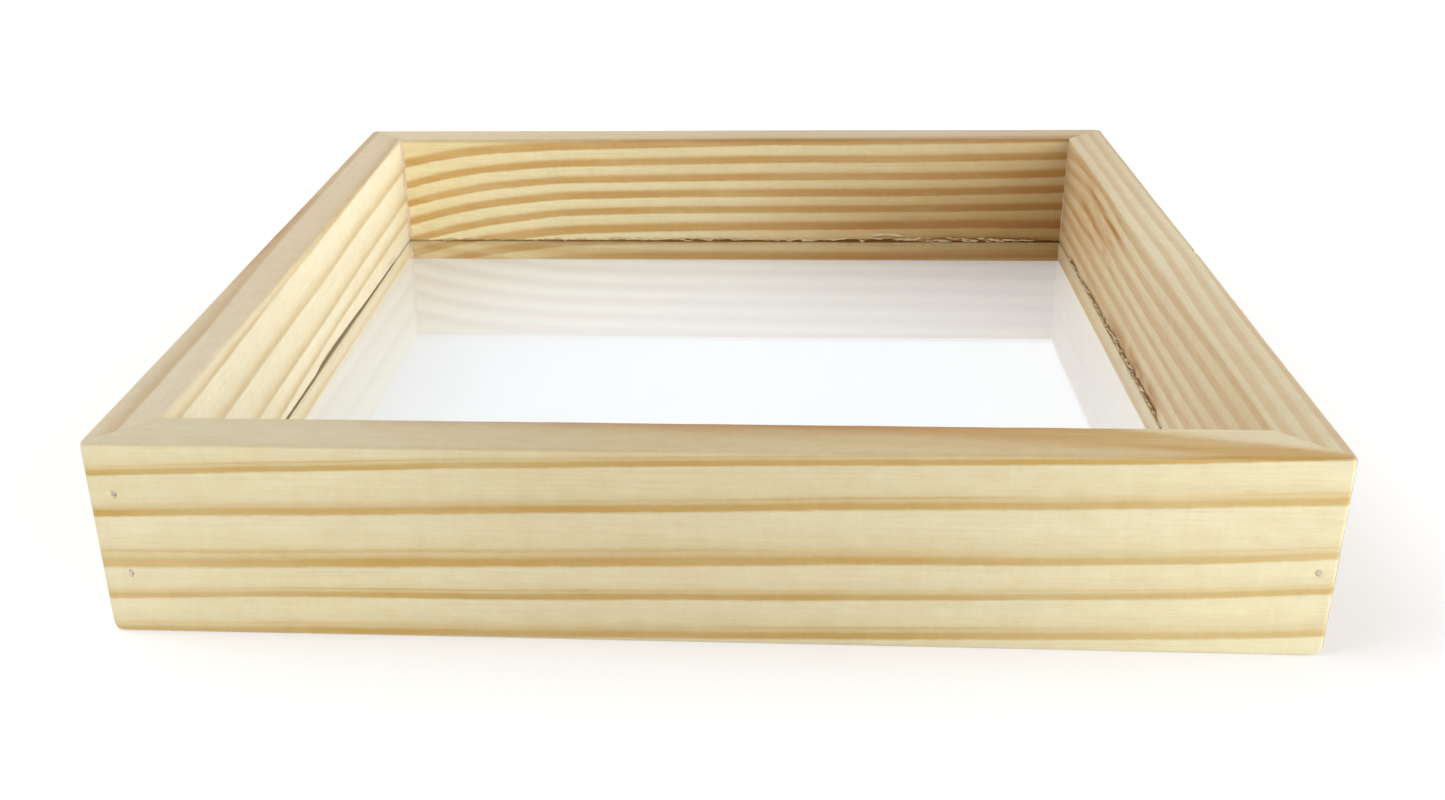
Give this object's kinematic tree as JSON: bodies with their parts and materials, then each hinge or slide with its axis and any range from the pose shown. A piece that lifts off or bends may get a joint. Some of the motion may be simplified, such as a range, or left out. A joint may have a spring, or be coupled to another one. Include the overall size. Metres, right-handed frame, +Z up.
{
  "type": "screen printing frame",
  "caption": "Square pine frame with mitred, pinned corners and a clear flat sheet held in a saw kerf round the inner faces.",
  "frame": {"origin": "centre of the underside, on the surface that the frame stands on", "axes": "+X to the right along the front rail, +Y to the back rail, +Z up out of the well above the clear sheet"},
  "size_m": [0.254, 0.254, 0.045],
  "materials": {
    "pine_front": "satin",
    "pine_back": "satin",
    "pine_left": "satin",
    "pine_right": "satin",
    "clear_acrylic": "polished",
    "dried_glue": "satin",
    "brad_steel": "satin"
  },
  "bodies": {
    "root": {"rail_front": "pine_front", "rail_back": "pine_back", "rail_left": "pine_left", "rail_right": "pine_right", "clear_sheet": "clear_acrylic", "glue_front_left": "dried_glue", "glue_front_right": "dried_glue", "glue_back_left": "dried_glue", "glue_back_right": "dried_glue", "brads_front_left": "brad_steel", "brads_front_right": "brad_steel", "brads_back_left": "brad_steel", "brads_back_right": "brad_steel"}
  },
  "joints": []
}
